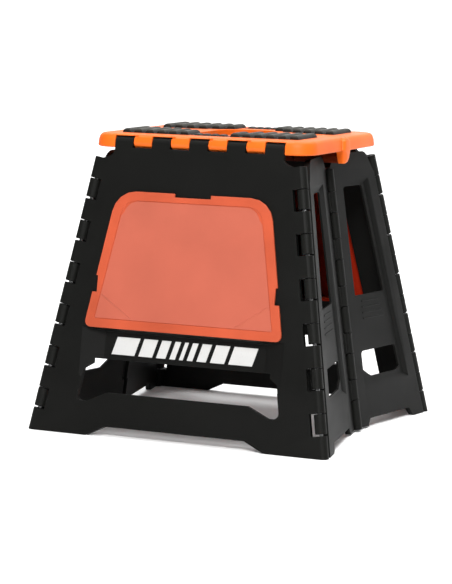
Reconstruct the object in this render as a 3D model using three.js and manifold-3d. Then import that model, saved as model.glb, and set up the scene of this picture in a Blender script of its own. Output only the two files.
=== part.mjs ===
// Folding plastic work stand: two leg panels, four folding side panels, a two-piece folding
// top with rubber grips, two snap-on cover plates, and the steel pins of its hinges.
// Millimetres, +Z up. X is the long direction, the front faces -Y, the floor is z = 0.

import * as THREE from 'three';
import { mergeVertices } from 'three/addons/utils/BufferGeometryUtils.js';
import Module from 'manifold-3d';

const wasm = await Module();
wasm.setup();

// ---- driving dimensions -----------------------------------------------------------------

const FOOT_X = 222;              // outer corner of a foot, from the centre
const FOOT_Y = 200;
const LEAN_X = 0.1776;           // how far the corners come in for each mm of height
const LEAN_Y = 0.1778;
const SHOULDER_Z = 370;          // top of the leg corners
const VALLEY_X = 157;            // the side's face where its two panels meet ...
const VALLEY_Z = 185;            // ... at this height
const VALLEY_PROUD = 2.9;        // the middle hinge axis stands this far outside that face

const LEG_T = 7.8;               // leg panel thickness
const SIDE_T = 7.8;              // side panel thickness
const CORNER_R = 8;              // corner hinge knuckles
const CORNER_KNUCKLES = 13;      // equal stretches, alternately on the leg and on the side
const MIDDLE_R = 6.5;            // middle hinge knuckles of the sides
const PIN_R = 2.5;
const PIN_HOLE_R = 3.0;
const PLAY = 0.45;               // gap at each end of a knuckle
const DROP_GAP = 2.4;            // gap under each corner knuckle of a side panel ...
const LIFT_GAP = 0.9;            // ... and over it

const TOP_X = 160.7;             // half length and half depth of the top
const TOP_Y = 130.5;
const TOP_CORNER_R = 29;
const TOP_LOW = 384.5;
const TOP_HIGH = 403;
const TOP_HINGE_Z = 392.3;       // where the legs hang from the top
const TOP_HINGE_R = 7.8;
const FINGER_SPAN = 124;         // the nine fingers of that hinge end here
const FINGERS = 9;
const CENTRE_HINGE_Z = 375;      // where the top folds
const CENTRE_HINGE_R = 8;
const HOLE_X = 45;               // the rounded drain hole through the top
const HOLE_Y = 62;
const HOLE_CORNER_R = 38;
const GRIP_HEIGHT = 5.5;         // ridge tops above the top's surface

const AXIS_X = new THREE.Vector3(1, 0, 0);

// ---- solids -----------------------------------------------------------------------------

function solid(geometry) {
  const bare = geometry.clone();
  for (const name of Object.keys(bare.attributes)) {
    if (name !== 'position') bare.deleteAttribute(name);
  }
  const merged = mergeVertices(bare, 1e-4);
  return new wasm.Manifold(new wasm.Mesh({
    numProp: 3,
    vertProperties: new Float32Array(merged.attributes.position.array),
    triVerts: new Uint32Array(merged.index.array),
  }));
}

function toGeometry(manifold) {
  const mesh = manifold.getMesh();
  const geometry = new THREE.BufferGeometry();
  geometry.setAttribute('position', new THREE.BufferAttribute(new Float32Array(mesh.vertProperties), 3));
  geometry.setIndex(new THREE.BufferAttribute(new Uint32Array(mesh.triVerts), 1));
  geometry.computeVertexNormals();
  return geometry;
}

function join(parts) {
  return parts.reduce((whole, part) => whole.add(part));
}

function box(x0, x1, y0, y1, z0, z1) {
  const geometry = new THREE.BoxGeometry(x1 - x0, y1 - y0, z1 - z0);
  geometry.translate((x0 + x1) / 2, (y0 + y1) / 2, (z0 + z1) / 2);
  return solid(geometry);
}

// A round bar from one point to another.
function bar(from, to, radius, segments = 12) {
  const along = to.clone().sub(from);
  const geometry = new THREE.CylinderGeometry(radius, radius, along.length(), segments);
  const turn = new THREE.Quaternion().setFromUnitVectors(new THREE.Vector3(0, 1, 0), along.clone().normalize());
  geometry.applyQuaternion(turn);
  geometry.translate(...from.clone().add(to).multiplyScalar(0.5).toArray());
  return solid(geometry);
}

// Corners are [x, y, radius]; a radius rounds that corner with an arc of a few chords.
function rounded(corners, chords = 4) {
  const points = [];
  corners.forEach(([x, y, radius], i) => {
    const here = new THREE.Vector2(x, y);
    if (!radius) {
      points.push(here);
      return;
    }
    const before = new THREE.Vector2(...corners.at(i - 1)).sub(here).normalize();
    const after = new THREE.Vector2(...corners[(i + 1) % corners.length]).sub(here).normalize();
    const half = Math.acos(before.dot(after)) / 2;
    const reach = radius / Math.tan(half);
    const centre = before.clone().add(after).normalize().multiplyScalar(radius / Math.sin(half)).add(here);
    const start = here.clone().addScaledVector(before, reach).sub(centre).angle();
    const end = here.clone().addScaledVector(after, reach).sub(centre).angle();
    const sweep = ((end - start + 3 * Math.PI) % (2 * Math.PI)) - Math.PI;
    for (let k = 0; k <= chords; k += 1) {
      const angle = start + (sweep * k) / chords;
      points.push(new THREE.Vector2(Math.cos(angle), Math.sin(angle)).multiplyScalar(radius).add(centre));
    }
  });
  return points;
}

// A flat outline given depth along the third axis.
function slab(points, low, high) {
  const geometry = new THREE.ExtrudeGeometry(new THREE.Shape(points), { depth: high - low, bevelEnabled: false });
  geometry.translate(0, 0, low);
  return solid(geometry);
}

// A skin over a stack of outlines, each { points, height }, all with as many points.
function loft(rings) {
  const count = rings[0].points.length;
  const positions = rings.flatMap(({ points, height }) => points.flatMap((p) => [p.x, p.y, height]));
  const index = [];
  for (let level = 0; level + 1 < rings.length; level += 1) {
    for (let i = 0; i < count; i += 1) {
      const a = level * count + i;
      const b = level * count + ((i + 1) % count);
      index.push(a, b, b + count, a, b + count, a + count);
    }
  }
  const cap = THREE.ShapeUtils.triangulateShape(rings[0].points, []);
  const lid = THREE.ShapeUtils.triangulateShape(rings.at(-1).points, []);
  const last = (rings.length - 1) * count;
  cap.forEach(([a, b, c]) => index.push(a, c, b));
  lid.forEach(([a, b, c]) => index.push(last + a, last + b, last + c));
  const geometry = new THREE.BufferGeometry();
  geometry.setAttribute('position', new THREE.Float32BufferAttribute(positions, 3));
  geometry.setIndex(index);
  return solid(geometry);
}

function mirroredInY(geometry) {
  const flipped = geometry.clone().scale(1, -1, 1);
  const index = flipped.index.array;
  for (let i = 0; i < index.length; i += 3) {
    [index[i + 1], index[i + 2]] = [index[i + 2], index[i + 1]];
  }
  flipped.computeVertexNormals();
  return flipped;
}

// ---- frames of the panels -----------------------------------------------------------------

const BETA = Math.atan(LEAN_Y);                                      // lean of a leg
const LEG_FRAME = new THREE.Matrix4().makeBasis(
  AXIS_X,
  new THREE.Vector3(0, Math.sin(BETA), Math.cos(BETA)),
  new THREE.Vector3(0, -Math.cos(BETA), Math.sin(BETA)),
).setPosition(0, -FOOT_Y, 0);

const cornerAt = (z) => new THREE.Vector3(FOOT_X - LEAN_X * z, -(FOOT_Y - LEAN_Y * z), z);
const SIDE_NORMAL = new THREE.Vector3(VALLEY_X, 0, VALLEY_Z).sub(cornerAt(0))
  .cross(cornerAt(SHOULDER_Z).sub(cornerAt(0))).normalize();
const SIDE_ACROSS = new THREE.Vector3(-SIDE_NORMAL.y, SIDE_NORMAL.x, 0).normalize();
const SIDE_UP = SIDE_NORMAL.clone().cross(SIDE_ACROSS);
const SIDE_FRAME = new THREE.Matrix4()
  .makeBasis(SIDE_ACROSS, SIDE_UP, SIDE_NORMAL).setPosition(cornerAt(0));

// Height above the floor to distance up a panel's face.
const upLeg = (z) => z / Math.cos(BETA);
const upSide = (z) => z / SIDE_UP.z;

// The corner hinge axis is CORNER_R inside both faces.
const CORNER_DIRECTION = cornerAt(SHOULDER_Z).sub(cornerAt(0)).normalize();
const LEG_NORMAL = new THREE.Vector3(0, -Math.cos(BETA), Math.sin(BETA));
const HALF_CORNER = Math.PI / 2 - LEG_NORMAL.angleTo(SIDE_NORMAL) / 2;
const CORNER_REACH = CORNER_R / Math.tan(HALF_CORNER);
const CORNER_AXIS_POINT = cornerAt(0)
  .addScaledVector(SIDE_NORMAL, -CORNER_R)
  .addScaledVector(SIDE_NORMAL.clone().cross(CORNER_DIRECTION).multiplyScalar(-1), CORNER_REACH);
const cornerAxis = (z) => CORNER_AXIS_POINT.clone()
  .addScaledVector(CORNER_DIRECTION, (z - CORNER_AXIS_POINT.z) / CORNER_DIRECTION.z);

// The middle hinge axis of a side lies in the plane y = 0.
const valleyFace = (z) => (SIDE_NORMAL.dot(cornerAt(0)) - SIDE_NORMAL.z * z) / SIDE_NORMAL.x;
const middleAxis = (z) => new THREE.Vector3(valleyFace(z) + VALLEY_PROUD / SIDE_NORMAL.x, 0, z);

const inLeg = (point) => point.clone().applyMatrix4(LEG_FRAME.clone().invert());
const inSide = (point) => point.clone().applyMatrix4(SIDE_FRAME.clone().invert());

const LEG_HINGE_V = (TOP_HINGE_Z + CORNER_R * Math.sin(BETA)) / Math.cos(BETA);
const TOP_HINGE_Y = -FOOT_Y + LEG_HINGE_V * Math.sin(BETA) + CORNER_R * Math.cos(BETA);

const cornerEnds = (stretch) => [
  (SHOULDER_Z * stretch) / CORNER_KNUCKLES,
  (SHOULDER_Z * (stretch + 1)) / CORNER_KNUCKLES,
];
const fingerEnds = (finger) => [
  -FINGER_SPAN + (2 * FINGER_SPAN * finger) / FINGERS,
  -FINGER_SPAN + (2 * FINGER_SPAN * (finger + 1)) / FINGERS,
];

// ---- leg panel ------------------------------------------------------------------------------

const ARCH_TOP = 13.6;
const SCOOP_X = 21;              // the hollow beside the outermost finger
const SCOOP_Z = 12;
const WINDOW_LOW = 59;
const BRIDGE_LOW = 103;
const BRIDGE_HIGH = 144;
const BRIDGE_DEPTH = 12;
const BRIDGE_WALL = 2.8;
const COVER_LOW = 144;
const COVER_HIGH = 327;
const COVER_FOOT_X = 145;
const COVER_BORDER = 12;

const leanIn = (x, zFrom, z) => x - LEAN_X * (z - zFrom);

// A rectangle along a hinge line from a to b, reaching from `near` to `far` to its right.
function besideLine(a, b, near, far) {
  const across = new THREE.Vector2(b.y - a.y, a.x - b.x).normalize();
  const at = (p, distance) => new THREE.Vector2(p.x, p.y).addScaledVector(across, distance);
  return [at(a, near), at(a, far), at(b, far), at(b, near)];
}

function mirroredOutline(right) {
  const left = right.map(([x, y, r]) => [-x, y, r]).reverse();
  return rounded([...right, ...left]);
}

function legOutline() {
  const top = upLeg(SHOULDER_Z);
  const foot = inLeg(cornerAxis(-40));
  const shoulder = inLeg(cornerAxis(SHOULDER_Z));
  const end = FINGER_SPAN - PLAY;
  const scoop = new THREE.EllipseCurve(end + SCOOP_X, top + SCOOP_Z, SCOOP_X, SCOOP_Z, 1.5 * Math.PI, Math.PI, true);
  const curve = scoop.getPoints(6).map((p) => [p.x, p.y, 0]);
  return mirroredOutline([
    [foot.x, foot.y, 0],
    [shoulder.x, top, 0],
    ...curve,
    [end, LEG_HINGE_V, 0],
  ]);
}

function archCut() {
  return slab(mirroredOutline([
    [102, upLeg(ARCH_TOP), 0],
    [131, upLeg(0), 0],
    [131, upLeg(0) - 60, 0],
  ].reverse()), -30, 30);
}

function lowerWindow() {
  return slab(mirroredOutline([
    [103, upLeg(WINDOW_LOW), 0],
    [133, upLeg(45.5), 0],
    [149, upLeg(45.5), 7],
    [leanIn(149, 45.5, 89), upLeg(89), 2],
    [118, upLeg(BRIDGE_LOW), 0],
  ]), -30, 30);
}

const coverCorners = (inset) => [
  [COVER_FOOT_X - inset * 1.2, upLeg(COVER_LOW + inset), Math.max(8 - inset / 2, 3)],
  [leanIn(COVER_FOOT_X, COVER_LOW, COVER_HIGH) - inset, upLeg(COVER_HIGH - inset), Math.max(34 - inset, 5)],
];

// The dished bridge under the cover: a cut from the front and a matching bulge behind.
function bridgeRings(spread, deeper) {
  const outline = (x, z) => [
    new THREE.Vector2(-x, upLeg(BRIDGE_LOW) - 25 - spread),
    new THREE.Vector2(x, upLeg(BRIDGE_LOW) - 25 - spread),
    new THREE.Vector2(x, upLeg(z)),
    new THREE.Vector2(-x, upLeg(z)),
  ];
  return loft([
    { points: outline(118 + spread, BRIDGE_HIGH - 4 + spread), height: -BRIDGE_DEPTH - deeper },
    { points: outline(150 + spread, BRIDGE_HIGH + spread), height: 1 - deeper },
  ]);
}

function cornerKnuckle(stretch, radius, grow) {
  const [low, high] = cornerEnds(stretch);
  const start = stretch === 0 ? -30 : low - grow;
  return bar(cornerAxis(start), cornerAxis(high + grow), radius);
}

// The stretch of the leg's edge that the side's knuckle takes, in the leg's frame.
function cornerGap(stretch) {
  const [low, high] = cornerEnds(stretch);
  const a = inLeg(cornerAxis(low));
  const b = inLeg(cornerAxis(high));
  return slab(besideLine(a, b, -CORNER_R - 3.5, 30), -30, 30);
}

function mirroredInX(manifold) {
  const geometry = toGeometry(manifold).scale(-1, 1, 1);
  const index = geometry.index.array;
  for (let i = 0; i < index.length; i += 3) {
    [index[i + 1], index[i + 2]] = [index[i + 2], index[i + 1]];
  }
  return solid(geometry);
}

function transformed(manifold, matrix) {
  return solid(toGeometry(manifold).applyMatrix4(matrix));
}

function legPanel() {
  const toLeg = LEG_FRAME.clone().invert();
  const both = (one) => [one, mirroredInX(one)];

  let panel = slab(legOutline(), -LEG_T, 0);
  const bulge = bridgeRings(0, BRIDGE_WALL)
    .intersect(box(-134, 134, upLeg(BRIDGE_LOW), upLeg(BRIDGE_HIGH), -20, -LEG_T + 1));
  panel = panel.add(bulge);
  panel = panel.subtract(bridgeRings(0, 0).subtract(box(-200, 200, upLeg(BRIDGE_HIGH), 400, -30, 30)));
  panel = panel.subtract(archCut()).subtract(lowerWindow());
  panel = panel.subtract(slab(mirroredOutline(coverCorners(COVER_BORDER)), -30, 30));

  const knuckles = [];
  for (let stretch = 0; stretch < CORNER_KNUCKLES; stretch += 2) {
    knuckles.push(...both(transformed(cornerKnuckle(stretch, CORNER_R, 0), toLeg)));
  }
  panel = panel.add(join(knuckles));
  for (let stretch = 1; stretch < CORNER_KNUCKLES; stretch += 2) {
    both(cornerGap(stretch)).forEach((gap) => { panel = panel.subtract(gap); });
  }
  const hole = bar(cornerAxis(-40), cornerAxis(SHOULDER_Z + 30), PIN_HOLE_R, 8);
  both(transformed(hole, toLeg)).forEach((cut) => { panel = panel.subtract(cut); });

  const hingeLine = (x) => new THREE.Vector3(x, LEG_HINGE_V, -CORNER_R);
  for (let finger = 0; finger < FINGERS; finger += 1) {
    const [start, end] = fingerEnds(finger);
    if (finger % 2 === 0) {
      panel = panel.add(bar(hingeLine(start + PLAY), hingeLine(end - PLAY), TOP_HINGE_R));
    } else {
      panel = panel.subtract(box(start - PLAY, end + PLAY, LEG_HINGE_V - TOP_HINGE_R - 1, 500, -30, 30));
    }
  }
  panel = panel.subtract(bar(hingeLine(-200), hingeLine(200), PIN_HOLE_R, 8));
  const floor = solid(new THREE.BoxGeometry(900, 900, 100).translate(0, 0, -50));
  return toGeometry(panel.subtract(transformed(floor, toLeg)));
}

// ---- side panels ----------------------------------------------------------------------------

const SIDE_TOP = 378;
const MIDDLE_TOP = 359;
const MIDDLE_LOW = 3;
const MIDDLE_PAIR = 64;          // one long and one short knuckle
const MIDDLE_SHORT = 27.8;
const MIDDLE_FIRST = 44;         // where the lowest short knuckle starts
const RECESS_DEPTH = 4.6;

const CORNER_EDGE_SLOPE = inSide(cornerAt(1)).x;
const VALLEY_AT_FLOOR = inSide(new THREE.Vector3(valleyFace(0), 0, 0)).x;
const VALLEY_SLOPE = inSide(new THREE.Vector3(valleyFace(1), 0, 1)).x - VALLEY_AT_FLOOR;
const fromCorner = (distance, z) => CORNER_EDGE_SLOPE * z + distance;
const fromValley = (distance, z) => VALLEY_AT_FLOOR + VALLEY_SLOPE * z - distance;

function sideOutline() {
  const edge = CORNER_REACH + CORNER_R + 1.4;
  return rounded([
    [fromCorner(edge, -40), upSide(-40), 0],
    [fromValley(2, -40), upSide(-40), 0],
    [fromValley(2, MIDDLE_TOP), upSide(MIDDLE_TOP), 0],
    [fromValley(9, MIDDLE_TOP + 1), upSide(MIDDLE_TOP + 1), 2],
    [fromValley(17, SIDE_TOP - 4), upSide(SIDE_TOP - 4), 6],
    [fromValley(30, SIDE_TOP), upSide(SIDE_TOP), 0],
    [fromCorner(32, SIDE_TOP), upSide(SIDE_TOP), 14],
    [fromCorner(22, 352), upSide(352), 4],
    [fromCorner(edge, 348), upSide(348), 0],
  ]);
}

function sideRecess() {
  const outline = (grow) => [
    new THREE.Vector2(fromCorner(46 - grow, 64), upSide(64 - grow)),
    new THREE.Vector2(fromValley(42 - grow, 64), upSide(64 - grow)),
    new THREE.Vector2(fromValley(42 - grow, 335), upSide(335 + grow)),
    new THREE.Vector2(fromCorner(46 - grow, 335), upSide(335 + grow)),
  ];
  return loft([
    { points: outline(0), height: -RECESS_DEPTH },
    { points: outline(7), height: 0.5 },
  ]);
}

function sideWindows() {
  const upper = rounded([
    [fromCorner(52, 182), upSide(182), 3],
    [fromValley(44, 182), upSide(182), 3],
    [fromValley(44, 332), upSide(332), 5],
    [fromCorner(52, 332), upSide(332), 5],
  ], 3);
  const lower = rounded([
    [fromCorner(64, 69), upSide(69), 3],
    [fromValley(62, 69), upSide(69), 3],
    [fromValley(44, 79), upSide(79), 3],
    [fromValley(44, 105), upSide(105), 5],
    [fromCorner(52, 105), upSide(105), 5],
    [fromCorner(52, 74), upSide(74), 3],
  ], 3);
  return [slab(upper, -30, 30), slab(lower, -30, 30)];
}

// Raised bars on the band between the two windows.
function sideRibs() {
  return [148, 156, 164, 172].map((z, i) => {
    const outline = [
      new THREE.Vector2(fromValley(58, z), upSide(z)),
      new THREE.Vector2(fromValley(58, z), upSide(z) + 2),
      new THREE.Vector2(fromValley(112 - 3 * i, z), upSide(z) + 2),
      new THREE.Vector2(fromValley(112 - 3 * i, z), upSide(z)),
    ].reverse();
    return slab(outline, -RECESS_DEPTH - 0.5, -RECESS_DEPTH + 0.9);
  });
}

function sideArch() {
  return slab(rounded([
    [fromCorner(47, 0), upSide(-1), 0],
    [fromCorner(47, 0), upSide(-60), 0],
    [fromValley(-20, 0), upSide(-60), 0],
    [fromValley(-20, 0), upSide(MIDDLE_LOW), 0],
    [fromValley(35, 0), upSide(MIDDLE_LOW), 0],
    [fromValley(42, 0), upSide(12.5), 0],
    [fromCorner(58, 0), upSide(12.5), 0],
  ].reverse()), -30, 30);
}

const middleStretches = () => {
  const marks = [MIDDLE_LOW];
  for (let pair = 0; pair < 5; pair += 1) {
    const start = MIDDLE_FIRST + MIDDLE_PAIR * pair;
    marks.push(start, start + MIDDLE_SHORT);
  }
  marks.push(MIDDLE_TOP);
  return marks.slice(0, -1).map((low, i) => ({ low, high: marks[i + 1], short: i % 2 === 1 }));
};

// `short` says whether this panel holds the short knuckles of the middle hinge.
function sidePanel(short) {
  const toSide = SIDE_FRAME.clone().invert();
  let panel = slab(sideOutline(), -SIDE_T, 0);
  panel = panel.subtract(sideRecess()).subtract(sideArch());
  sideWindows().forEach((cut) => { panel = panel.subtract(cut); });
  panel = panel.add(join(sideRibs()));

  for (let stretch = 1; stretch < CORNER_KNUCKLES; stretch += 2) {
    const [low, high] = cornerEnds(stretch);
    const knuckle = transformed(bar(cornerAxis(low + DROP_GAP), cornerAxis(high - LIFT_GAP), CORNER_R), toSide);
    const a = inSide(cornerAxis(low + DROP_GAP));
    const b = inSide(cornerAxis(high - LIFT_GAP));
    const neck = slab(besideLine(a, b, 0, CORNER_R + 4), -SIDE_T, -SIDE_T + 3.6);
    panel = panel.add(knuckle).add(neck);
  }

  const clear = MIDDLE_R + 1.4;
  middleStretches().forEach((stretch) => {
    const own = stretch.short === short;
    const grow = own ? -PLAY : PLAY;
    const a = inSide(middleAxis(stretch.low - grow));
    const b = inSide(middleAxis(stretch.high + grow));
    if (own) {
      const neck = slab(besideLine(a, b, -clear - 3, 0), -3.2, VALLEY_PROUD);
      const from = middleAxis(stretch.low - grow);
      const to = middleAxis(stretch.high + grow);
      panel = panel.add(neck).add(transformed(bar(from, to, MIDDLE_R), toSide));
    }
  });
  middleStretches().forEach((stretch) => {
    if (stretch.short === short) return;
    const a = inSide(middleAxis(stretch.low - PLAY / 2));
    const b = inSide(middleAxis(stretch.high + PLAY / 2));
    panel = panel.subtract(slab(besideLine(a, b, -clear, 20), -30, 30));
  });

  const floor = solid(new THREE.BoxGeometry(900, 900, 100).translate(0, 0, -50));
  panel = panel.subtract(transformed(floor, toSide));
  const holes = [
    bar(cornerAxis(-40), cornerAxis(SIDE_TOP + 20), PIN_HOLE_R, 8),
    bar(middleAxis(-40), middleAxis(SIDE_TOP + 20), PIN_HOLE_R, 8),
  ];
  holes.forEach((hole) => { panel = panel.subtract(transformed(hole, toSide)); });
  return toGeometry(panel).applyMatrix4(SIDE_FRAME);
}

// ---- top ------------------------------------------------------------------------------------

// Half of the top, for y < 0; the other half is the same part turned round.
function topOutline(inset) {
  const r = TOP_CORNER_R - inset * 0.6;
  const x = TOP_X - inset;
  const y = TOP_Y - inset;
  return rounded([[-x, -y, r], [x, -y, r], [x, y, r], [-x, y, r]], 6);
}

const drainHole = () => rounded([
  [-HOLE_X, -HOLE_Y, HOLE_CORNER_R],
  [HOLE_X, -HOLE_Y, HOLE_CORNER_R],
  [HOLE_X, HOLE_Y, HOLE_CORNER_R],
  [-HOLE_X, HOLE_Y, HOLE_CORNER_R],
], 8);

const GRIP_FLOOR = TOP_HIGH - 1.2;
const RIDGES = 6;
const RIDGE_PITCH = 17.3;
const RIDGE_FIRST = 37;
const RIDGE_WIDTH = 12.8;
const RIDGE_FRONT = -97;
const RIDGE_BACK = [-57, -44, -37, -34, -32, -30];

const gripPadOutline = (grow) => {
  const left = RIDGE_FIRST - RIDGE_WIDTH / 2 - grow;
  const right = RIDGE_FIRST + RIDGE_PITCH * (RIDGES - 1) + RIDGE_WIDTH / 2 + grow;
  const steps = RIDGE_BACK.slice(1).flatMap((y, i) => {
    const x = RIDGE_FIRST + RIDGE_PITCH * (i + 1) - RIDGE_WIDTH / 2 - grow;
    return [new THREE.Vector2(x, RIDGE_BACK[i] + grow), new THREE.Vector2(x, y + grow)];
  });
  return [
    new THREE.Vector2(left, RIDGE_FRONT - grow),
    new THREE.Vector2(right, RIDGE_FRONT - grow),
    new THREE.Vector2(right, RIDGE_BACK.at(-1) + grow),
    ...steps.reverse(),
    new THREE.Vector2(left, RIDGE_BACK[0] + grow),
  ];
};

const STRIP_X = 26.5;
const STRIP_BACK = -81;
const stripOutline = (grow) => rounded([
  [-STRIP_X - grow, RIDGE_FRONT - grow, 0],
  [STRIP_X + grow, RIDGE_FRONT - grow, 0],
  [STRIP_X + grow, STRIP_BACK + grow, 4],
  [-STRIP_X - grow, STRIP_BACK + grow, 4],
]);

// Stretches of the centre hinge, outwards from the drain hole; `mine` are this half's on the right.
const CENTRE_STRETCHES = [
  { start: 60, end: 86, mine: false },
  { start: 86, end: 118, mine: true },
  { start: 118, end: 150, mine: false },
];
const NOSE_X = 150.45;           // the nose, which is the end knuckle too, starts here
const NOSE_TIP = 165;
const NOSE_SEAM = 8;             // the halves meet here beside the nose, and at y = 0 elsewhere

// The rounded nose at the end of the centre hinge, on the right: a drop that widens upwards.
function nose() {
  const section = (low, high, tip, radius) => rounded([
    [NOSE_X, low, 0],
    [tip, low, radius],
    [tip, high, radius],
    [NOSE_X, high, 0],
  ], 3);
  return loft([
    { points: section(-3.6, 3.6, NOSE_TIP - 6.5, 3), height: CENTRE_HINGE_Z - 8 },
    { points: section(-6.2, 6.2, NOSE_TIP - 3.6, 4.5), height: CENTRE_HINGE_Z - 5.8 },
    { points: section(-8.4, NOSE_SEAM, NOSE_TIP - 1.8, 6), height: CENTRE_HINGE_Z - 1 },
    { points: section(-11.5, NOSE_SEAM, NOSE_TIP - 0.6, 6), height: CENTRE_HINGE_Z + 6 },
    { points: section(-17.5, NOSE_SEAM, NOSE_TIP, 6), height: TOP_LOW + 1.5 },
    { points: section(-14.5, NOSE_SEAM, NOSE_TIP - 1, 6), height: TOP_HIGH - 5 },
    { points: section(-11, NOSE_SEAM - 1.5, NOSE_TIP - 4, 6), height: TOP_HIGH - 1 },
  ]);
}

function topHalf() {
  const levels = [[TOP_LOW, 1.2], [TOP_LOW + 1.6, 0], [TOP_LOW + 10, 0.9], [TOP_HIGH - 3.4, 2.4],
    [TOP_HIGH - 1.1, 4.6], [TOP_HIGH, 7.6]];
  const block = loft(levels.map(([height, inset]) => ({ points: topOutline(inset), height })));
  const nearHalf = box(-300, 300, -300, -0.2, 300, 500).add(box(NOSE_X, 300, -5, NOSE_SEAM, 300, 500));
  const farNose = box(-300, -NOSE_X + 2 * PLAY, -NOSE_SEAM - 0.4, 5, 300, 500);

  let half = block.intersect(nearHalf).add(nose()).subtract(farNose);

  // hinge to the leg
  const inner = TOP_HINGE_Y + TOP_HINGE_R + 1;
  const lipLow = TOP_HINGE_Z + TOP_HINGE_R + 0.8;
  half = half.subtract(box(-FINGER_SPAN - 0.5, FINGER_SPAN + 0.5, -200, inner, 300, lipLow));
  const hingeLine = (x) => new THREE.Vector3(x, TOP_HINGE_Y, TOP_HINGE_Z);
  for (let finger = 1; finger < FINGERS; finger += 2) {
    const [start, end] = fingerEnds(finger);
    const a = start + PLAY;
    const b = end - PLAY;
    const root = box(a, b, TOP_HINGE_Y, inner + 1, TOP_LOW, lipLow + 0.5);
    const brow = box(a, b, TOP_HINGE_Y - TOP_HINGE_R, inner + 1, TOP_HINGE_Z, lipLow + 0.5);
    const knuckle = bar(hingeLine(a), hingeLine(b), TOP_HINGE_R);
    half = half.add(root).add(brow.intersect(block)).add(knuckle);
    half = half.subtract(box(start - 1, a + 5.5, -200, TOP_HINGE_Y - 3.5, lipLow - 2.2, 500));
  }

  // centre hinge
  const centre = (x) => new THREE.Vector3(x, 0, CENTRE_HINGE_Z);
  CENTRE_STRETCHES.forEach(({ start, end, mine }) => {
    [1, -1].forEach((side) => {
      const own = mine === (side > 0);
      const a = side * (start + PLAY);
      const b = side * (end - PLAY);
      const [low, high] = [Math.min(a, b), Math.max(a, b)];
      if (own) {
        half = half.add(bar(centre(low), centre(high), CENTRE_HINGE_R, 14));
        half = half.add(box(low, high, -CENTRE_HINGE_R, -0.2, CENTRE_HINGE_Z, TOP_LOW + 1));
      }
    });
  });

  // hollow underside, between ribs
  const skin = 3.6;
  const cells = [[-148, -104], [-100, -51], [51, 100], [104, 148]];
  cells.forEach(([a, b]) => {
    half = half.subtract(box(a, b, -106, -60, 300, GRIP_FLOOR - skin));
    half = half.subtract(box(a, b, -56, -14, 300, GRIP_FLOOR - skin));
  });
  half = half.subtract(box(-47, -2, -106, -67, 300, GRIP_FLOOR - skin));
  half = half.subtract(box(2, 47, -106, -67, 300, GRIP_FLOOR - skin));

  half = half.subtract(slab(drainHole(), 300, 500));
  [gripPadOutline(0.3), stripOutline(0.3)].forEach((outline) => {
    half = half.subtract(slab(outline, GRIP_FLOOR, 500));
  });
  half = half.subtract(mirroredInX(slab(gripPadOutline(0.3), GRIP_FLOOR, 500)));

  half = half.subtract(bar(hingeLine(-FINGER_SPAN), hingeLine(FINGER_SPAN), PIN_HOLE_R, 8));
  half = half.subtract(bar(centre(50), centre(160.5), PIN_HOLE_R, 8));
  half = half.subtract(bar(centre(-160.5), centre(-50), PIN_HOLE_R, 8));
  return toGeometry(half);
}

// ---- rubber grips ---------------------------------------------------------------------------

function ridge(x, width, front, back, base, height) {
  const section = (shrink) => [
    new THREE.Vector2(x - width / 2 + shrink, front + shrink),
    new THREE.Vector2(x + width / 2 - shrink, front + shrink),
    new THREE.Vector2(x + width / 2 - shrink, back - shrink),
    new THREE.Vector2(x - width / 2 + shrink, back - shrink),
  ];
  return loft([
    { points: section(0), height: base },
    { points: section(0.9), height: base + height * 0.62 },
    { points: section(width * 0.27), height: base + height },
  ]);
}

function gripPad() {
  const base = GRIP_FLOOR + 0.3;
  let pad = slab(gripPadOutline(0), base, TOP_HIGH + 0.6);
  RIDGE_BACK.forEach((back, i) => {
    const x = RIDGE_FIRST + RIDGE_PITCH * i;
    pad = pad.add(ridge(x, RIDGE_WIDTH, RIDGE_FRONT, back, TOP_HIGH, GRIP_HEIGHT));
  });
  return toGeometry(pad);
}

function gripStrip() {
  const base = GRIP_FLOOR + 0.3;
  let strip = slab(stripOutline(0), base, TOP_HIGH + 0.5);
  for (const x of [-18, -6, 6, 18]) {
    strip = strip.add(ridge(x, 9.6, RIDGE_FRONT + 1.2, STRIP_BACK - 1.6, TOP_HIGH, 2.6));
  }
  return toGeometry(strip);
}

// ---- cover plate ----------------------------------------------------------------------------

const COVER_T = 3.5;
const COVER_SEAT = 0.3;

function coverPlate() {
  const outer = mirroredOutline(coverCorners(0));
  let plate = slab(outer, COVER_SEAT, COVER_SEAT + COVER_T);
  plate = plate.subtract(slab(mirroredOutline(coverCorners(COVER_BORDER)), COVER_SEAT + COVER_T - 1.1, 20));
  const notchAt = [[0, COVER_HIGH, 26.4, 5]];
  notchAt.forEach(([x, z, half, depth]) => {
    plate = plate.subtract(box(x - half, x + half, upLeg(z) - depth, upLeg(z) + 5, -5, 20));
  });
  [-1, 1].forEach((side) => {
    const edge = side * leanIn(COVER_FOOT_X, COVER_LOW, 203);
    plate = plate.subtract(box(edge - 4.5, edge + 4.5, upLeg(191), upLeg(213), -5, 20));
  });
  const back = slab(mirroredOutline(coverCorners(COVER_BORDER + 0.6)), -2, COVER_SEAT + 1)
    .subtract(slab(mirroredOutline(coverCorners(COVER_BORDER + 3)), -6, COVER_SEAT));
  plate = plate.add(back);
  [-70, 70].forEach((x) => {
    const low = upLeg(COVER_LOW + COVER_BORDER) + 0.9;
    const hook = box(x - 12, x + 12, low, low + 2.4, -LEG_T - 2, 1);
    const barb = box(x - 12, x + 12, low - 2.4, low + 1, -LEG_T - 2, -LEG_T - 0.5);
    plate = plate.add(hook).add(barb);
  });
  const high = upLeg(COVER_HIGH - COVER_BORDER) - 0.9;
  [-48, 48].forEach((x) => {
    const hook = box(x - 12, x + 12, high - 2.4, high, -LEG_T - 2, 1);
    const barb = box(x - 12, x + 12, high - 1, high + 2.4, -LEG_T - 2, -LEG_T - 0.5);
    plate = plate.add(hook).add(barb);
  });
  return toGeometry(plate);
}

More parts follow.
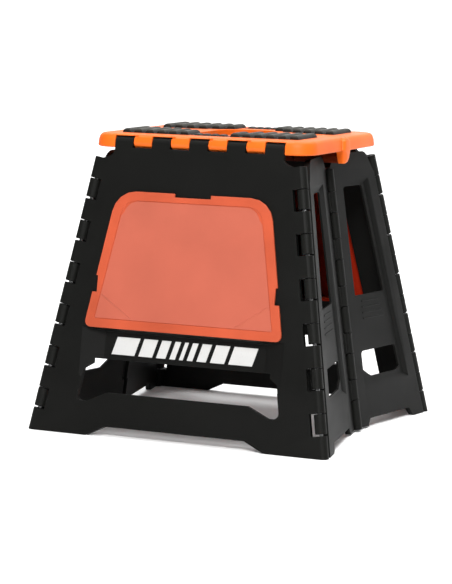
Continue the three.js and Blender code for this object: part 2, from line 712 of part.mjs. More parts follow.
// ---- pins -----------------------------------------------------------------------------------

const pin = (from, to) => toGeometry(bar(from, to, PIN_R, 12));

// ---- assembly -------------------------------------------------------------------------------

const black = { color: 0x232324, roughness: 0.6, metalness: 0 };
const orange = { color: 0xee6a2b, roughness: 0.45, metalness: 0 };
const coverOrange = { color: 0xe2765c, roughness: 0.5, metalness: 0 };
const rubber = { color: 0x4b4744, roughness: 0.85, metalness: 0 };
const steel = { color: 0x8d8f92, roughness: 0.35, metalness: 1 };

const stand = new THREE.Group();
const turned = new THREE.Matrix4().makeRotationZ(Math.PI);
const unmoved = new THREE.Matrix4();

function addMesh(name, geometry, finish, matrix = unmoved) {
  const mesh = new THREE.Mesh(geometry, new THREE.MeshStandardMaterial(finish));
  mesh.name = name;
  mesh.applyMatrix4(matrix);
  stand.add(mesh);
}

// A piece of the front, and the same piece turned half round for the back.
function addPair(front, back, geometry, finish, matrix = unmoved) {
  addMesh(front, geometry, finish, matrix);
  addMesh(back, geometry, finish, turned.clone().multiply(matrix));
}

addPair('leg_front', 'leg_back', legPanel(), black, LEG_FRAME);
addPair('cover_plate_front', 'cover_plate_back', coverPlate(), coverOrange, LEG_FRAME);
addPair('side_right_front', 'side_left_back', sidePanel(true), black);
addPair('side_left_front', 'side_right_back', mirroredInY(sidePanel(false)), black, turned);
addPair('top_front', 'top_back', topHalf(), orange);
addPair('grip_front_right', 'grip_back_left', gripPad(), rubber);
addPair('grip_front_left', 'grip_back_right', toGeometry(mirroredInX(solid(gripPad()))), rubber);
addPair('grip_strip_front', 'grip_strip_back', gripStrip(), rubber);

const centrePinEnd = (x) => new THREE.Vector3(x, 0, CENTRE_HINGE_Z);
addPair('centre_pin_right', 'centre_pin_left', pin(centrePinEnd(61), centrePinEnd(159.5)), steel);
const topPinEnd = (x) => new THREE.Vector3(x, TOP_HINGE_Y, TOP_HINGE_Z);
addPair('top_pin_front', 'top_pin_back', pin(topPinEnd(-122), topPinEnd(122)), steel);
const cornerPin = pin(cornerAxis(4), cornerAxis(SHOULDER_Z - 4));
addPair('corner_pin_right_front', 'corner_pin_left_back', cornerPin, steel);
addPair('corner_pin_left_front', 'corner_pin_right_back', mirroredInY(cornerPin), steel, turned);
middleStretches().filter((stretch) => stretch.short).forEach(({ low, high }, i) => {
  const peg = pin(middleAxis(low + PLAY + 0.3), middleAxis(high - PLAY - 0.3));
  addPair(`side_pin_right_${i + 1}`, `side_pin_left_${i + 1}`, peg, steel);
});

export default stand;
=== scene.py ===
"""Looks of a folding plastic work stand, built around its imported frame."""

import logging
import math
from collections.abc import Iterable
from dataclasses import dataclass
from enum import Enum

import bmesh
import bpy
from mathutils import Matrix, Vector


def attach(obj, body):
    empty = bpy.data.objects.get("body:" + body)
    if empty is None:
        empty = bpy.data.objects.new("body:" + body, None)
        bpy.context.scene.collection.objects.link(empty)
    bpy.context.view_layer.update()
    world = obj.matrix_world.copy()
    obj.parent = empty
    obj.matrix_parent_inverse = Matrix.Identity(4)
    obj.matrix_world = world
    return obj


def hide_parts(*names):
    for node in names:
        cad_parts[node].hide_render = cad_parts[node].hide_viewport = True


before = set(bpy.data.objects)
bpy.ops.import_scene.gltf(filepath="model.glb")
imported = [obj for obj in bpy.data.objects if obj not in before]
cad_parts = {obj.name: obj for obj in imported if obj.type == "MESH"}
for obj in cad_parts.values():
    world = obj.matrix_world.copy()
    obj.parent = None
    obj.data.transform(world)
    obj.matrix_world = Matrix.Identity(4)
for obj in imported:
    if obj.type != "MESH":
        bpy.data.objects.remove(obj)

LOG = logging.getLogger("stand")
MM = 0.001
MM_PER_M = 1000.0

# Angles in degrees: up to the first, two faces shade as one; up to the second, they are one flat
# face; from the third on, the edge between them is rounded.
SMOOTH_ANGLE = 34.0
FLAT_ANGLE = 0.8
SHARP_ANGLE = 38.0
# Points closer than this, in metres, become one.
MERGE_DISTANCE = 0.02 * MM
# The share of the edge beside it that a rounding may take up.
ROOM_SHARE = 0.42
# How strongly large flat faces decide the shading next to them.
FLAT_FACE_WEIGHT = 90
# Where most values of a noise pattern lie.
NOISE_RANGE = (0.3, 0.7)
# The colour sockets of a mix node, which share their names with its other sockets.
MIX_FIRST, MIX_SECOND, MIX_RESULT = 6, 7, 2

Colour = tuple[float, float, float]


class End(Enum):
    """Which end of the stand a piece is on."""

    FRONT = "front"
    BACK = "back"

    @property
    def sign(self) -> int:
        """-1 towards -Y for the front, +1 for the back."""
        return -1 if self is End.FRONT else 1


class Hand(Enum):
    """Which side of the stand a piece is on, seen from the front."""

    LEFT = "left"
    RIGHT = "right"


# ---- finishes -------------------------------------------------------------------------


class Nodes:
    """A small helper that adds shader nodes to one material and wires them."""

    def __init__(self, name: str) -> None:
        """Make an empty node material with a Principled shader.

        Args:
            name: The material's name.
        """
        self.material = bpy.data.materials.new(name)
        self.material.use_nodes = True
        self.tree = self.material.node_tree
        self.tree.nodes.clear()
        self.shader = self.tree.nodes.new("ShaderNodeBsdfPrincipled")
        output = self.tree.nodes.new("ShaderNodeOutputMaterial")
        self.link(self.shader.outputs["BSDF"], output.inputs["Surface"])
        self.place = self.tree.nodes.new("ShaderNodeTexCoord").outputs["Object"]

    def link(self, source: bpy.types.NodeSocket, target: bpy.types.NodeSocket) -> None:
        """Wire one socket to another."""
        self.tree.links.new(source, target)

    def noise(
        self, scale: float, detail: float = 3.0, stretch: Vector | None = None
    ) -> bpy.types.NodeSocket:
        """Add a noise pattern in the piece's own metres.

        Args:
            scale: Cells per metre.
            detail: Octaves of the noise.
            stretch: How much each axis is scaled first, or None.

        Returns:
            The noise's factor socket.
        """
        texture = self.tree.nodes.new("ShaderNodeTexNoise")
        texture.inputs["Scale"].default_value = scale
        texture.inputs["Detail"].default_value = detail
        source = self.place
        if stretch is not None:
            mapping = self.tree.nodes.new("ShaderNodeMapping")
            mapping.inputs["Scale"].default_value = stretch
            self.link(source, mapping.inputs["Vector"])
            source = mapping.outputs["Vector"]
        self.link(source, texture.inputs["Vector"])
        return texture.outputs["Fac"]

    def ramp(
        self, source: bpy.types.NodeSocket, low: float, high: float, to_low: float, to_high: float
    ) -> bpy.types.NodeSocket:
        """Map a range of one value to a range of another, clamped.

        Args:
            source: The value.
            low: The value that becomes to_low.
            high: The value that becomes to_high.
            to_low: What the result starts at.
            to_high: What the result ends at.

        Returns:
            The mapped value's socket.
        """
        node = self.tree.nodes.new("ShaderNodeMapRange")
        limits = {"From Min": low, "From Max": high, "To Min": to_low, "To Max": to_high}
        for socket, value in limits.items():
            node.inputs[socket].default_value = value
        self.link(source, node.inputs["Value"])
        return node.outputs["Result"]

    def blend(
        self,
        factor: bpy.types.NodeSocket,
        first: Colour | bpy.types.NodeSocket,
        second: Colour | bpy.types.NodeSocket,
    ) -> bpy.types.NodeSocket:
        """Mix two colours, each given as a tuple or a socket.

        Args:
            factor: 0 shows the first colour, 1 the second.
            first: The first colour.
            second: The second colour.

        Returns:
            The mixed colour's socket.
        """
        node = self.tree.nodes.new("ShaderNodeMix")
        node.data_type = "RGBA"
        self.link(factor, node.inputs["Factor"])
        for socket, colour in ((node.inputs[MIX_FIRST], first), (node.inputs[MIX_SECOND], second)):
            if isinstance(colour, bpy.types.NodeSocket):
                self.link(colour, socket)
            else:
                socket.default_value = (*colour, 1.0)
        return node.outputs[MIX_RESULT]

    def height(self, low: float, high: float) -> bpy.types.NodeSocket:
        """Measure how high up the stand a point is, as 0 at low and 1 at high.

        Args:
            low: The lower height, in metres.
            high: The upper height, in metres.

        Returns:
            The measure's socket.
        """
        parts = self.tree.nodes.new("ShaderNodeSeparateXYZ")
        self.link(self.place, parts.inputs["Vector"])
        return self.ramp(parts.outputs["Z"], low, high, 0.0, 1.0)

    def bump(
        self,
        height: bpy.types.NodeSocket,
        depth: float,
        below: bpy.types.NodeSocket | None = None,
    ) -> bpy.types.NodeSocket:
        """Add a bump.

        Args:
            height: The pattern, 0 to 1.
            depth: How deep the pattern is, in metres.
            below: Another bump's normal to add to, or None.

        Returns:
            The normal socket.
        """
        node = self.tree.nodes.new("ShaderNodeBump")
        node.inputs["Strength"].default_value = 1.0
        node.inputs["Distance"].default_value = depth
        self.link(height, node.inputs["Height"])
        if below is not None:
            self.link(below, node.inputs["Normal"])
        return node.outputs["Normal"]


@dataclass(frozen=True)
class MouldedPlastic:
    """Injection-moulded plastic with a spark-eroded grain and edges polished by handling."""

    name: str
    slot: str
    colour: Colour
    worn: Colour
    roughness: float
    specular: float
    grain_mm: float = 0.9
    grain_depth_mm: float = 0.035
    wave_depth_mm: float = 0.25
    darkest: float = 0.86
    lightest: float = 1.12
    edge_range: tuple[float, float] = (0.53, 0.62)
    edge_share: float = 0.55
    smoother: float = 0.06
    rougher: float = 0.07

    def make(self) -> bpy.types.Material:
        """Build the node material.

        Returns:
            The material.
        """
        nodes = Nodes(self.name)
        shader = nodes.shader
        cloud = nodes.noise(scale=14.0, detail=4.0)
        flow = nodes.noise(scale=5.0, detail=2.0, stretch=Vector((1.0, 1.0, 3.0)))
        dark = tuple(c * self.darkest for c in self.colour)
        light = tuple(min(1.0, c * self.lightest) for c in self.colour)
        base = nodes.blend(nodes.ramp(cloud, *NOISE_RANGE, 0.0, 1.0), dark, light)
        geometry = nodes.tree.nodes.new("ShaderNodeNewGeometry")
        edge = nodes.ramp(geometry.outputs["Pointiness"], *self.edge_range, 0.0, self.edge_share)
        coloured = nodes.blend(edge, base, self.worn)
        nodes.link(coloured, shader.inputs["Base Color"])
        least, most = self.roughness - self.smoother, self.roughness + self.rougher
        spots = nodes.ramp(flow, *NOISE_RANGE, least, most)
        nodes.link(spots, shader.inputs["Roughness"])
        shader.inputs["Specular IOR Level"].default_value = self.specular
        grain = nodes.noise(scale=MM_PER_M / self.grain_mm, detail=2.0)
        waviness = nodes.noise(scale=26.0, detail=1.0)
        soft = nodes.bump(waviness, self.wave_depth_mm * MM)
        nodes.link(nodes.bump(grain, self.grain_depth_mm * MM, soft), shader.inputs["Normal"])
        return nodes.material


@dataclass(frozen=True)
class GripRubber:
    """Soft rubber with patches of dust, a painted highlight on its high spots and painted shade down in
    its grooves.
    """

    name: str = "grip_rubber_finish"
    slot: str = "grip_rubber"
    colour: Colour = (0.012, 0.0115, 0.0085)
    # The pale dust colour, used for real patches of dust and as a painted highlight on the high spots.
    dust_and_highlight: Colour = (0.058, 0.054, 0.041)
    # Painted shade: the near-black that the grooves get, fading out between groove_floor and
    # groove_rim, heights in metres at rest.
    groove_shade: Colour = (0.0012, 0.0010, 0.0008)
    groove_floor: float = 0.4044
    groove_rim: float = 0.4086
    # How the high spots are picked, and how much of the painted highlight they take.
    crest_range: tuple[float, float] = (0.5, 0.6)
    crest_share: float = 0.6
    patch_range: tuple[float, float] = (0.35, 0.7)
    patch_share: float = 0.5
    smoothest: float = 0.4
    roughest: float = 0.58
    specular: float = 0.22
    pore_depth_mm: float = 0.05

    def make(self) -> bpy.types.Material:
        """Build the node material.

        Returns:
            The material.
        """
        nodes = Nodes(self.name)
        shader = nodes.shader
        dust = nodes.noise(scale=55.0, detail=5.0)
        geometry = nodes.tree.nodes.new("ShaderNodeNewGeometry")
        # Painted highlight: high spots get the pale dust colour as well.
        high = nodes.ramp(geometry.outputs["Pointiness"], *self.crest_range, 0.0, self.crest_share)
        patches = nodes.ramp(dust, *self.patch_range, 0.0, self.patch_share)
        patchy = nodes.blend(patches, self.colour, self.dust_and_highlight)
        crest = nodes.blend(high, patchy, self.dust_and_highlight)
        # Painted shade: the lower a point of the rubber lies, the nearer it gets to the groove colour.
        groove_shade_fade = nodes.height(self.groove_floor, self.groove_rim)
        nodes.link(nodes.blend(groove_shade_fade, self.groove_shade, crest), shader.inputs["Base Color"])
        sheen = nodes.ramp(dust, *NOISE_RANGE, self.smoothest, self.roughest)
        nodes.link(sheen, shader.inputs["Roughness"])
        shader.inputs["Specular IOR Level"].default_value = self.specular
        pores = nodes.noise(scale=900.0, detail=3.0)
        nodes.link(nodes.bump(pores, self.pore_depth_mm * MM), shader.inputs["Normal"])
        return nodes.material


@dataclass(frozen=True)
class DrawnSteel:
    """Plain drawn steel rod with fine marks along it."""

    name: str = "pin_steel_finish"
    colour: Colour = (0.42, 0.42, 0.43)
    stained: Colour = (0.24, 0.22, 0.20)
    stain_range: tuple[float, float] = (0.5, 0.75)
    stain_share: float = 0.7
    smoothest: float = 0.28
    roughest: float = 0.46
    mark_depth_mm: float = 0.03

    def make(self) -> bpy.types.Material:
        """Build the node material.

        Returns:
            The material.
        """
        nodes = Nodes(self.name)
        shader = nodes.shader
        stain = nodes.noise(scale=120.0, detail=4.0)
        lines = nodes.noise(scale=900.0, detail=2.0, stretch=Vector((0.04, 1.0, 0.08)))
        stains = nodes.ramp(stain, *self.stain_range, 0.0, self.stain_share)
        colour = nodes.blend(stains, self.colour, self.stained)
        nodes.link(colour, shader.inputs["Base Color"])
        shader.inputs["Metallic"].default_value = 1.0
        sheen = nodes.ramp(lines, *NOISE_RANGE, self.smoothest, self.roughest)
        nodes.link(sheen, shader.inputs["Roughness"])
        nodes.link(nodes.bump(lines, self.mark_depth_mm * MM), shader.inputs["Normal"])
        return nodes.material


@dataclass(frozen=True)
class PadPrint:
    """White ink printed on grained black plastic."""

    name: str = "white_print_finish"
    slot: str = "black_plastic"
    colour: Colour = (0.56, 0.56, 0.55)
    thin: Colour = (0.30, 0.30, 0.30)
    thin_range: tuple[float, float] = (0.66, 0.74)
    smoothest: float = 0.35
    roughest: float = 0.5
    relief_mm: float = 0.02

    def make(self) -> bpy.types.Material:
        """Build the node material.

        Returns:
            The material.
        """
        nodes = Nodes(self.name)
        shader = nodes.shader
        pinholes = nodes.noise(scale=1400.0, detail=2.0)
        holes = nodes.ramp(pinholes, *self.thin_range, 0.0, 1.0)
        nodes.link(nodes.blend(holes, self.colour, self.thin), shader.inputs["Base Color"])
        sheen = nodes.ramp(pinholes, *NOISE_RANGE, self.smoothest, self.roughest)
        nodes.link(sheen, shader.inputs["Roughness"])
        texture = nodes.noise(scale=1000.0, detail=2.0)
        nodes.link(nodes.bump(texture, self.relief_mm * MM), shader.inputs["Normal"])
        return nodes.material


PANEL = MouldedPlastic(
    "cover_panel_finish", "cover_plastic",
    colour=(0.39, 0.094, 0.058), worn=(0.44, 0.10, 0.06), roughness=0.6, grain_mm=0.6, specular=0.16,
)
# Painted shade: a dark red copy of the cover plastic for the plates' inward faces, standing in for the
# shade inside the stand.
COVER_INSIDE_SHADE = MouldedPlastic(
    "cover_inside_painted_shade", "cover_plastic",
    colour=(0.34, 0.018, 0.005), worn=(0.36, 0.020, 0.006), roughness=0.7, grain_mm=0.7, specular=0.04,
)
BLACK = MouldedPlastic(
    "black_plastic_finish", "black_plastic",
    colour=(0.0040, 0.0041, 0.0036), worn=(0.009, 0.0094, 0.008), roughness=0.5, specular=0.12,
)
ORANGE = MouldedPlastic(
    "orange_plastic_finish", "top_plastic",
    colour=(0.76, 0.120, 0.008), worn=(0.82, 0.18, 0.024),
    roughness=0.42, grain_depth_mm=0.02, specular=0.2,
)
COVER = MouldedPlastic(
    "cover_plastic_finish", "cover_plastic",
    colour=(0.44, 0.072, 0.029), worn=(0.50, 0.085, 0.034), roughness=0.5, grain_mm=0.7, specular=0.22,
)
# Painted shade: a near-black copy of the orange plastic for the hinge knuckles under the top's rim,
# standing in for the shade there.
UNDERSIDE_SHADE = MouldedPlastic(
    "top_underside_painted_shade", "top_plastic",
    colour=(0.085, 0.010, 0.002), worn=(0.10, 0.012, 0.003),
    roughness=0.7, grain_depth_mm=0.02, specular=0.05,
)
RUBBER = GripRubber()
STEEL = DrawnSteel()
INK = PadPrint()


# ---- mesh helpers ---------------------------------------------------------------------


def new_piece(name: str, mesh: bmesh.types.BMesh, finish: bpy.types.Material) -> bpy.types.Object:
    """Put a finished bmesh into the scene as a smooth-shaded piece.

    Args:
        name: The piece's name.
        mesh: The bmesh, which is freed.
        finish: The piece's material.

    Returns:
        The new object.
    """
    data = bpy.data.meshes.new(name)
    mesh.to_mesh(data)
    mesh.free()
    data.materials.clear()
    data.materials.append(finish)
    data.shade_smooth()
    data.set_sharp_from_angle(angle=math.radians(SMOOTH_ANGLE))
    piece = bpy.data.objects.new(name, data)
    bpy.context.scene.collection.objects.link(piece)
    return piece


def soften_edges(
    piece: bpy.types.Object, width: float, segments: int = 2, angle: float = SHARP_ANGLE
) -> None:
    """Round a piece's sharp edges the way a mould does.

    Args:
        piece: The piece.
        width: Width of the rounding, in metres.
        segments: Facets across the rounding.
        angle: Without edge weights, edges that turn more than this many degrees are rounded.
    """
    bevel = piece.modifiers.new("moulded_edges", "BEVEL")
    bevel.width = width
    bevel.segments = segments
    if "bevel_weight_edge" in piece.data.attributes:
        bevel.limit_method = "WEIGHT"
    else:
        bevel.limit_method = "ANGLE"
        bevel.angle_limit = math.radians(angle)
    bevel.use_clamp_overlap = False
    bevel.harden_normals = True
    bevel.miter_outer = "MITER_ARC"
    level = piece.modifiers.new("flat_faces_flat", "WEIGHTED_NORMAL")
    level.weight = FLAT_FACE_WEIGHT
    level.keep_sharp = True


def cleaned_copy(node: str) -> bmesh.types.BMesh:
    """Copy a CAD node's mesh with its flat faces merged.

    Args:
        node: The CAD node's name.

    Returns:
        The cleaned bmesh.
    """
    mesh = bmesh.new()
    mesh.from_mesh(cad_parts[node].data)
    bmesh.ops.remove_doubles(mesh, verts=mesh.verts, dist=MERGE_DISTANCE)
    bmesh.ops.dissolve_degenerate(mesh, edges=mesh.edges, dist=MERGE_DISTANCE)
    bmesh.ops.dissolve_limit(
        mesh, angle_limit=math.radians(FLAT_ANGLE), verts=mesh.verts, edges=mesh.edges
    )
    bmesh.ops.recalc_face_normals(mesh, faces=mesh.faces)
    return mesh


def weigh_edges(mesh: bmesh.types.BMesh, width: float) -> None:
    """Give each sharp edge the share of the rounding that its short neighbours leave room for.

    Args:
        mesh: The mesh.
        width: The full width of the rounding, in metres.
    """
    weight = mesh.edges.layers.float.new("bevel_weight_edge")
    for edge in mesh.edges:
        if len(edge.link_faces) != 2 or edge.calc_face_angle(0.0) < math.radians(SHARP_ANGLE):
            continue
        room = width
        for loop in edge.link_loops:
            for beside in (loop.link_loop_next, loop.link_loop_prev):
                room = min(room, ROOM_SHARE * beside.edge.calc_length())
        edge[weight] = room / width


def close_solid(
    mesh: bmesh.types.BMesh, low: list[bmesh.types.BMVert], high: list[bmesh.types.BMVert]
) -> None:
    """Close two matching rings of points into one solid.

    Args:
        mesh: The mesh that the points are in.
        low: The ring at the back, counter-clockwise seen from the front.
        high: The ring at the front, in the same order.
    """
    mesh.faces.new(high)
    mesh.faces.new(reversed(low))
    for i, _ in enumerate(low):
        j = (i + 1) % len(low)
        mesh.faces.new((low[i], low[j], high[j], high[i]))


def moulded(
    node: str,
    body: str,
    material: bpy.types.Material,
    edge_mm: float,
) -> bpy.types.Object:
    """Replace a CAD node with a copy that has rounded edges and its real finish.

    Args:
        node: The CAD node.
        body: The body that it rides on.
        material: The finish's material.
        edge_mm: Radius of the edges, in millimetres.

    Returns:
        The new piece.
    """
    mesh = cleaned_copy(node)
    weigh_edges(mesh, edge_mm * MM)
    piece = new_piece(f"{node}_moulded", mesh, material)
    soften_edges(piece, edge_mm * MM)
    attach(piece, body)
    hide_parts(node)
    LOG.info("%s: %d faces", piece.name, len(piece.data.polygons))
    return piece


# ---- the stand ------------------------------------------------------------------------


@dataclass
class LegPanel:
    """One end's black leg panel with its printed bridge and its orange cover plate."""

    end: End
    black: bpy.types.Material
    cover: bpy.types.Material
    sheet: bpy.types.Material
    # Painted shade: the darker copy of the cover plastic for the plates' inward faces.
    inside: bpy.types.Material
    ink: bpy.types.Material
    edge_mm: float = 0.7
    cover_edge_mm: float = 0.6
    inward: float = -0.5
    lean: float = 0.1778
    foot_y: float = 0.2
    bridge_depth: float = 0.012
    print_z: float = 0.122
    print_height: float = 0.024
    print_length: float = 0.214
    print_lift: float = 0.00003
    print_thickness: float = 0.0002
    print_slant: float = 0.3
    print_gap: float = 0.006
    print_shares: tuple[float, ...] = (5, 3, 2, 1.2, 0.8, 1.2, 2, 3, 5)
    cover_low: float = 0.144
    cover_high: float = 0.327
    cover_foot: float = 0.145
    side_lean: float = 0.1776
    sheet_inset: float = 0.0128
    foot_inset_share: float = 1.2
    sheet_corner: float = 0.021
    corner_steps: int = 6
    sheet_level: float = 0.00272
    sheet_thickness: float = 0.0005
    line_reach: float = 0.052
    line_rise: float = 0.032
    line_width: float = 0.0014
    line_height: float = 0.0004
    line_sunk: float = 0.0001

    @property
    def sheet_foot(self) -> float:
        """Half the sheet's width at its lower edge."""
        return self.cover_foot - self.foot_inset_share * self.sheet_inset

    def build(self) -> None:
        """Build every piece of this end."""
        name = self.end.value
        moulded(f"leg_{name}", f"leg_{name}", self.black, self.edge_mm)
        plate = moulded(f"cover_plate_{name}", f"leg_{name}", self.cover, self.cover_edge_mm)
        self.shade_inside(plate)
        self.print_bars()
        self.cover_panel()

    def shade_inside(self, plate: bpy.types.Object) -> None:
        """Paint shade on the side of a plate that faces into the stand, with a darker copy of the cover
        plastic.

        Args:
            plate: The cover plate's piece.
        """
        plate.data.materials.append(self.inside)
        out = self.panel_frame().to_3x3() @ Vector((0.0, 0.0, 1.0))
        # Faces that turn into the stand get the painted shade.
        for face in plate.data.polygons:
            if face.normal.dot(out) < self.inward:
                face.material_index = 1

    def panel_frame(self) -> Matrix:
        """The panel's own frame: x across it, y up its face, z out of it.

        Returns:
            The matrix from the panel's frame to the row frame.
        """
        tilt = math.atan(self.lean)
        right = Vector((-self.end.sign, 0.0, 0.0))
        up = Vector((0.0, -self.end.sign * math.sin(tilt), math.cos(tilt)))
        out = right.cross(up)
        matrix = Matrix((right, up, out)).transposed().to_4x4()
        matrix.translation = Vector((0.0, self.end.sign * self.foot_y, 0.0))
        return matrix

    def cover_panel(self) -> None:
        """Lay the matte sheet that fills the cover plate's sunk middle, with its fine moulded lines."""
        tilt = math.atan(self.lean)
        low = (self.cover_low + self.sheet_inset) / math.cos(tilt)
        high = (self.cover_high - self.sheet_inset) / math.cos(tilt)
        head = self.cover_foot - self.side_lean * (self.cover_high - self.cover_low) - self.sheet_inset
        corner = self.sheet_corner
        right = [(self.sheet_foot, low), (head + corner * self.side_lean, high - corner)]
        for step in range(1, self.corner_steps + 1):
            angle = math.radians(90.0 / self.corner_steps * step)
            right.append((head - corner * (1 - math.cos(angle)), high - corner * (1 - math.sin(angle))))
        outline = right + [(-x, y) for x, y in reversed(right)]
        mesh = bmesh.new()
        level = self.sheet_level
        front = [mesh.verts.new((x, y, level + self.sheet_thickness)) for x, y in outline]
        back = [mesh.verts.new((x, y, level)) for x, y in outline]
        close_solid(mesh, back, front)
        for side in (-1, 1):
            self.moulded_line(mesh, side, low, level + self.sheet_thickness)
        mesh.transform(self.panel_frame())
        piece = new_piece(f"cover_sheet_{self.end.value}", mesh, self.sheet)
        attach(piece, f"leg_{self.end.value}")
        LOG.info("%s: %d faces", piece.name, len(piece.data.polygons))

    def moulded_line(self, mesh: bmesh.types.BMesh, side: int, low: float, level: float) -> None:
        """Add the low raised line across a lower corner of the sheet.

        Args:
            mesh: The sheet's mesh.
            side: -1 for the left corner, 1 for the right.
            low: Height of the sheet's lower edge up the panel.
            level: The sheet's front face.
        """
        foot = self.sheet_foot - self.line_width
        start = Vector((side * (foot - self.line_reach), low + self.line_width, 0.0))
        end = Vector((side * (foot - self.side_lean * self.line_rise), low + self.line_rise, 0.0))
        along = (end - start).normalized()
        across = Vector((-along.y, along.x, 0.0)) * self.line_width / 2
        top = Vector((0.0, 0.0, level + self.line_height))
        base = Vector((0.0, 0.0, level - self.line_sunk))
        slope = across / 2
        wide = (start - across, end - across, end + across, start + across)
        narrow = (start - slope, end - slope, end + slope, start + slope)
        foot_ring = [mesh.verts.new(point + base) for point in wide]
        crest = [mesh.verts.new(point + top) for point in narrow]
        if side < 0:
            # Known fault: both rings are in order already, so this turns the left line inside out.
            foot_ring, crest = list(reversed(foot_ring)), list(reversed(crest))
        close_solid(mesh, foot_ring, crest)

    def print_bars(self) -> None:
        """Print a row of plain slanted bars on the bridge."""
        mesh = bmesh.new()
        tilt = math.atan(self.lean)
        middle = self.print_z / math.cos(tilt)
        slant = self.print_slant * self.print_height
        gaps = self.print_gap * (len(self.print_shares) - 1)
        unit = (self.print_length - slant - gaps) / sum(self.print_shares)
        x = -self.print_length / 2
        low, high = middle - self.print_height / 2, middle + self.print_height / 2
        level = -self.bridge_depth
        for share in self.print_shares:
            width = unit * share
            outline = ((x, low), (x + width, low), (x + width + slant, high), (x + slant, high))
            back = [mesh.verts.new((px, py, level + self.print_lift)) for px, py in outline]
            front = [mesh.verts.new((px, py, level + self.print_thickness)) for px, py in outline]
            close_solid(mesh, back, front)
            x += width + self.print_gap
        mesh.transform(self.panel_frame())
        piece = new_piece(f"bridge_print_{self.end.value}", mesh, self.ink)
        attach(piece, f"leg_{self.end.value}")
        LOG.info("%s: %d bars", piece.name, len(self.print_shares))


@dataclass
class SideHalf:
    """One of the four folding side panels."""

    end: End
    hand: Hand
    black: bpy.types.Material
    edge_mm: float = 0.6

    @property
    def name(self) -> str:
        """The half's CAD node and body."""
        return f"side_{self.hand.value}_{self.end.value}"

    def build(self) -> None:
        """Build the half."""
        moulded(self.name, self.name, self.black, self.edge_mm)


@dataclass
class TopHalf:
    """One half of the orange top, with its two grips and its strip."""

    end: End
    orange: bpy.types.Material
    underside_shade: bpy.types.Material
    rubber: bpy.types.Material
    edge_mm: float = 0.7
    grip_edge_mm: float = 0.6
    strip_edge_mm: float = 0.4
    # Faces below rim_low and nearer the middle than nose_x get the painted shade.
    rim_low: float = 0.384
    nose_x: float = 0.1503

    def build(self) -> None:
        """Build the half, with painted shade below its rim, and its rubber pieces."""
        name = self.end.value
        shell = moulded(f"top_{name}", f"top_{name}", self.orange, self.edge_mm)
        # Painted shade: the darker copy of the orange plastic goes on the faces below the rim.
        shell.data.materials.append(self.underside_shade)
        for face in shell.data.polygons:
            if face.center.z < self.rim_low and abs(face.center.x) < self.nose_x:
                face.material_index = 1
        for hand in Hand:
            grip = f"grip_{name}_{hand.value}"
            moulded(grip, f"top_{name}", self.rubber, self.grip_edge_mm)
        moulded(f"grip_strip_{name}", f"top_{name}", self.rubber, self.strip_edge_mm)


@dataclass
class HingePins:
    """All the steel pins, which keep the meshes that the frame gives them."""

    steel: bpy.types.Material
    edge_mm: float = 0.3
    sharp_angle: float = 50.0

    def build(self) -> None:
        """Dress each pin with a rounded end and drawn steel."""
        pins = [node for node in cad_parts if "_pin_" in node]
        for node in pins:
            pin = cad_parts[node]
            pin.data.materials.clear()
            pin.data.materials.append(self.steel)
            soften_edges(pin, self.edge_mm * MM, segments=1, angle=self.sharp_angle)
        LOG.info("pins: %d", len(pins))


# ---- studio ---------------------------------------------------------------------------


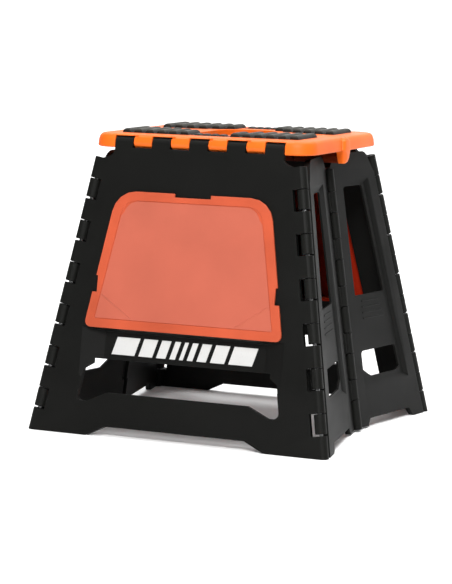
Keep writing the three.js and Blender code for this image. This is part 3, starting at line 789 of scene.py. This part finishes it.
@dataclass
class Studio:
    """Pale floor and backdrop, soft lights, and the camera."""

    azimuth: float = 24.13
    elevation: float = 7.68
    roll: float = 0.91
    distance: float = 3.206
    target: Vector = Vector((-0.0147, 0.0, 0.1794))
    lens: float = 141.57
    sensor_width: float = 36.0
    sight: float = 60.0
    floor_half: float = 9.0
    wall_y: float = 5.0
    wall_height: float = 6.0
    sweep_radius: float = 1.5
    sweep_steps: int = 12
    paper_darkest: float = 0.93
    paper_lightest: float = 0.95
    paper_roughness: float = 0.9
    paper_specular: float = 0.1
    glow_from: float = 0.6
    glow_to: float = 2.2
    floor_glow: float = 0.04
    wall_glow: float = 0.6
    surround: float = 0.08

    def build(self) -> None:
        """Build the camera, the floor, the backdrop and the lights."""
        self.place_camera()
        self.lay_floor()
        self.hang_lights()
        scene = bpy.context.scene
        scene.view_settings.view_transform = "Standard"

    def place_camera(self) -> None:
        """Put the camera where the stand is seen from."""
        azimuth, elevation, roll = (math.radians(v) for v in (self.azimuth, self.elevation, self.roll))
        back = Vector((
            math.sin(azimuth) * math.cos(elevation),
            -math.cos(azimuth) * math.cos(elevation),
            math.sin(elevation),
        ))
        right = Vector((math.cos(azimuth), math.sin(azimuth), 0.0))
        up = back.cross(right)
        rolled_right = right * math.cos(roll) + up * math.sin(roll)
        rolled_up = up * math.cos(roll) - right * math.sin(roll)
        camera = bpy.data.cameras.new("camera")
        camera.lens = self.lens
        camera.sensor_width = self.sensor_width
        camera.clip_end = self.sight
        holder = bpy.data.objects.new("camera", camera)
        matrix = Matrix((rolled_right, rolled_up, back)).transposed().to_4x4()
        matrix.translation = self.target + back * self.distance
        holder.matrix_world = matrix
        bpy.context.scene.collection.objects.link(holder)
        bpy.context.scene.camera = holder

    def lay_floor(self) -> None:
        """Lay a floor that sweeps up into a backdrop."""
        mesh = bmesh.new()
        half, radius = self.floor_half, self.sweep_radius
        start = self.wall_y - radius
        profile = [(-half, 0.0), (start, 0.0)]
        for step in range(1, self.sweep_steps + 1):
            angle = math.radians(90.0 / self.sweep_steps * step)
            profile.append((start + radius * math.sin(angle), radius - radius * math.cos(angle)))
        profile.append((self.wall_y, self.wall_height))
        rows = [[mesh.verts.new((x, y, z)) for x in (-half, half)] for y, z in profile]
        for (a, b), (c, d) in zip(rows, rows[1:]):
            mesh.faces.new((a, b, d, c))
        nodes = Nodes("studio_paper")
        paper = nodes.ramp(nodes.noise(scale=3.0, detail=2.0), *NOISE_RANGE, 0.0, 1.0)
        colour = nodes.blend(paper, (self.paper_darkest,) * 3, (self.paper_lightest,) * 3)
        nodes.link(colour, nodes.shader.inputs["Base Color"])
        nodes.shader.inputs["Roughness"].default_value = self.paper_roughness
        nodes.shader.inputs["Specular IOR Level"].default_value = self.paper_specular
        nodes.shader.inputs["Emission Color"].default_value = (1.0, 1.0, 1.0, 1.0)
        parts = nodes.tree.nodes.new("ShaderNodeSeparateXYZ")
        nodes.link(nodes.place, parts.inputs["Vector"])
        glow = nodes.ramp(
            parts.outputs["Y"], self.glow_from, self.glow_to, self.floor_glow, self.wall_glow
        )
        nodes.link(glow, nodes.shader.inputs["Emission Strength"])
        floor = new_piece("studio_floor", mesh, nodes.material)

    def hang_lights(self) -> None:
        """Hang one soft light overhead and one high in front, in a dim surround."""
        self.softbox(
            "overhead", place=Vector((0.0, 0.6, 3.0)), aim=Vector((0, 0.1, 0.2)), size=3.2, power=150.0
        )
        self.softbox(
            "front", place=Vector((1.0, -2.6, 2.3)), aim=Vector((0, -0.2, 0.15)), size=1.0, power=125.0
        )
        world = bpy.data.worlds.new("surround")
        world.use_nodes = True
        background = world.node_tree.nodes["Background"]
        background.inputs["Color"].default_value = (1.0, 1.0, 1.0, 1.0)
        background.inputs["Strength"].default_value = self.surround
        bpy.context.scene.world = world

    def softbox(self, name: str, place: Vector, aim: Vector, size: float, power: float) -> None:
        """Hang one square soft light.

        Args:
            name: The light's name.
            place: Where it hangs.
            aim: The point that it faces.
            size: Its side, in metres.
            power: Its power, in watts.
        """
        light = bpy.data.lights.new(name, "AREA")
        light.size = size
        light.energy = power
        holder = bpy.data.objects.new(name, light)
        holder.location = place
        holder.rotation_euler = (place - aim).to_track_quat("Z", "Y").to_euler()
        bpy.context.scene.collection.objects.link(holder)


def main() -> None:
    """Build the studio and every part of the stand."""
    logging.basicConfig(level=logging.INFO, format="%(name)s: %(message)s")
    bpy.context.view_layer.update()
    Studio().build()
    black, orange, underside_shade = BLACK.make(), ORANGE.make(), UNDERSIDE_SHADE.make()
    cover, sheet, inside = COVER.make(), PANEL.make(), COVER_INSIDE_SHADE.make()
    rubber, steel, ink = RUBBER.make(), STEEL.make(), INK.make()
    for end in End:
        LegPanel(end, black, cover, sheet, inside, ink).build()
        TopHalf(end, orange, underside_shade, rubber).build()
        for hand in Hand:
            SideHalf(end, hand, black).build()
    HingePins(steel).build()


if __name__ == "__main__":
    main()
